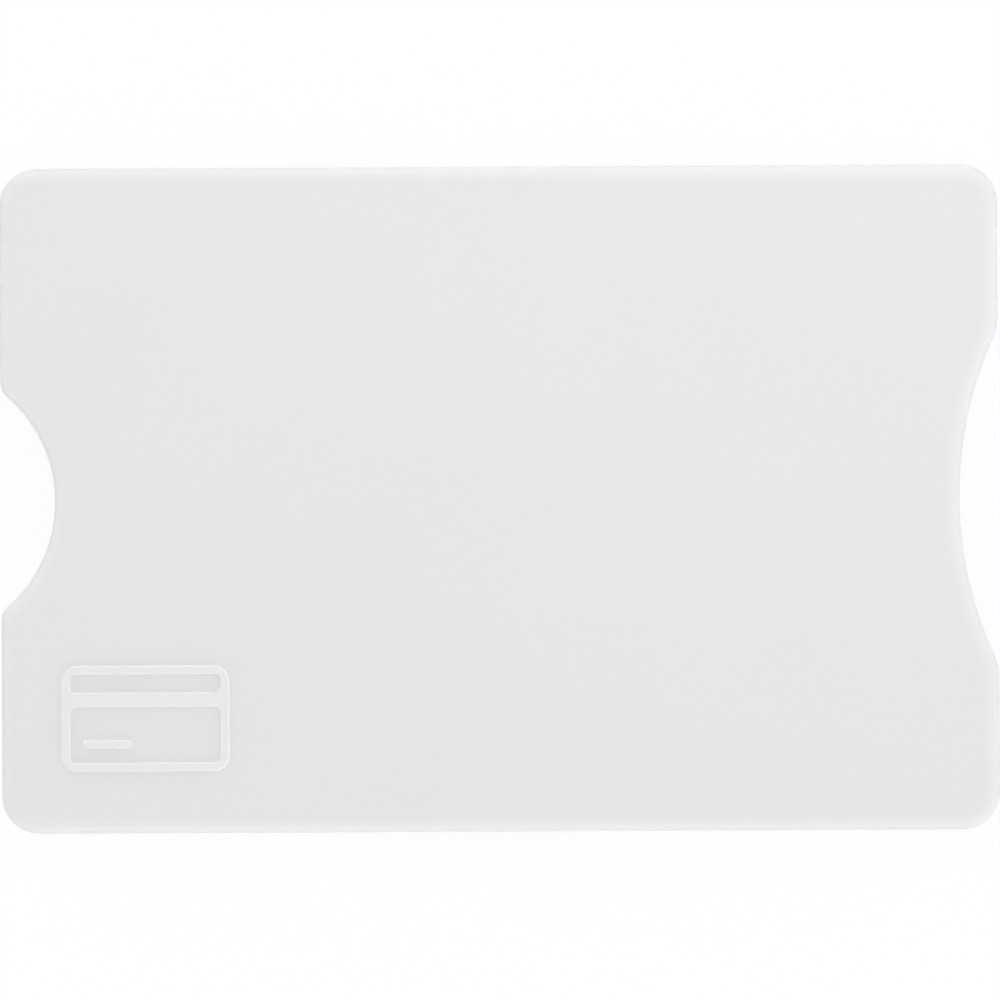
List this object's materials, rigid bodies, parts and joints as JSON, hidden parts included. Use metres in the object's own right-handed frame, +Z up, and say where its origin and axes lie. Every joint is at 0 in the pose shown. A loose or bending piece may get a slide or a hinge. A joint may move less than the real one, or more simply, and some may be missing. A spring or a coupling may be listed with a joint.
{
  "type": "card sleeve",
  "caption": "Rigid flat sleeve for one payment card: two moulded shells with shielding foil inside, a thumb notch at the closed end and a finger scoop at the open end.",
  "frame": {"origin": "middle of the rear face, which the sleeve lies on", "axes": "+X along the length, towards the open mouth; +Y across the width; +Z up, out of the front face"},
  "size_m": [0.09, 0.06, 0.0041],
  "materials": {
    "shell_plastic": "white moulded plastic, satin with a fine grain",
    "shield_foil": "rolled aluminium foil, lightly crinkled",
    "wear_liner": "clear polyester film",
    "adhesive": "transfer adhesive, cloudy"
  },
  "bodies": {
    "root": {"front_shell": "shell_plastic", "rear_shell": "shell_plastic", "front_adhesive": "adhesive", "rear_adhesive": "adhesive", "front_shield_foil": "shield_foil", "rear_shield_foil": "shield_foil", "front_wear_liner": "wear_liner", "rear_wear_liner": "wear_liner"}
  },
  "joints": []
}
